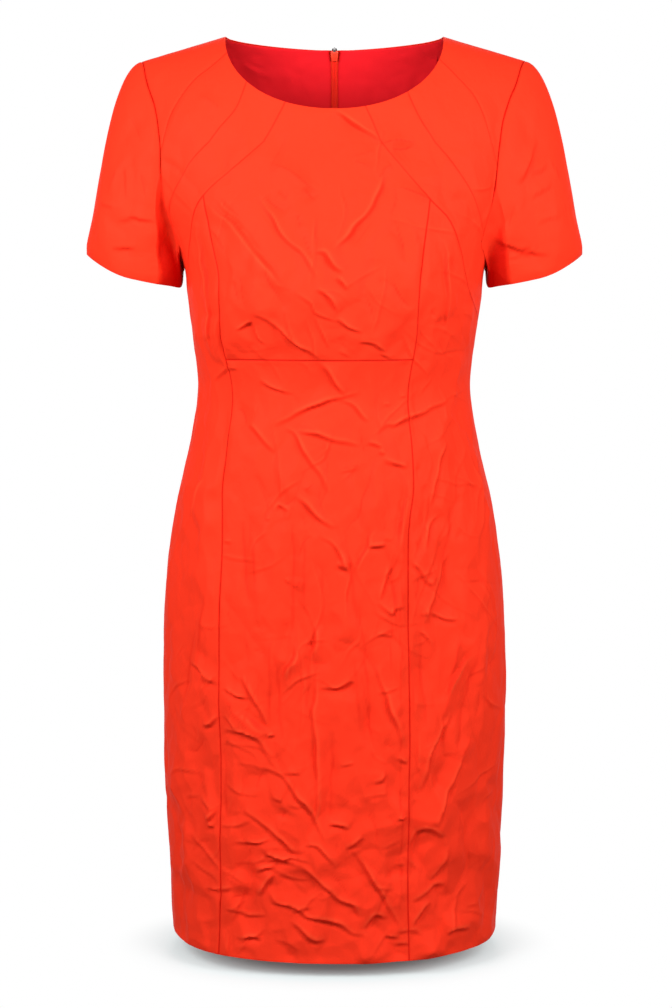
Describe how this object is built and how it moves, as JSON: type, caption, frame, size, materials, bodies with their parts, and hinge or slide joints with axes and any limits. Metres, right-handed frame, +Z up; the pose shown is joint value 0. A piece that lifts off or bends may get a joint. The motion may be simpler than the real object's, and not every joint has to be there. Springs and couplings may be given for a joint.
{
  "type": "bodycon dress",
  "caption": "Fitted knee-length dress filled out as worn, with a wide scoop neck, short set-in sleeves, shaped front seams and a centre-back zip.",
  "frame": {"origin": "midway between the two points where the neckline meets the shoulder seams", "axes": "+X to the wearer's left, +Y to the wearer's back, +Z up"},
  "size_m": [0.514, 0.2513, 0.9396],
  "materials": {
    "orange_sateen": "woven cotton sateen with a slight satin sheen, creased from wear",
    "crimson_lining": "smooth plain-woven lining",
    "zip_tape": "matt woven tape with a nylon coil",
    "zip_slider": "satin enamel",
    "dark_steel": "dark plated, satin"
  },
  "bodies": {
    "dress": {"front_bodice_centre": "orange_sateen", "front_skirt_centre": "orange_sateen", "front_side_left": "orange_sateen", "front_side_right": "orange_sateen", "front_band_lower_left": "orange_sateen", "front_band_lower_right": "orange_sateen", "front_band_upper_left": "orange_sateen", "front_band_upper_right": "orange_sateen", "front_shoulder_left": "orange_sateen", "front_shoulder_right": "orange_sateen", "back_left": "orange_sateen", "back_right": "orange_sateen", "sleeve_left": "orange_sateen", "sleeve_right": "orange_sateen", "back_lining_left": "crimson_lining", "back_lining_right": "crimson_lining", "zip_tape_left": "zip_tape", "zip_tape_right": "zip_tape", "zip_slider": "zip_slider"},
    "zip_pull": {"zip_pull": "dark_steel"}
  },
  "joints": [
    {"name": "zip_pull_hinge", "type": "hinge", "parent": "dress", "child": "zip_pull", "pos_m": [0, 0.05812, -0.00735], "axis": [1, 0, 0], "range_deg": [0, 150]}
  ]
}
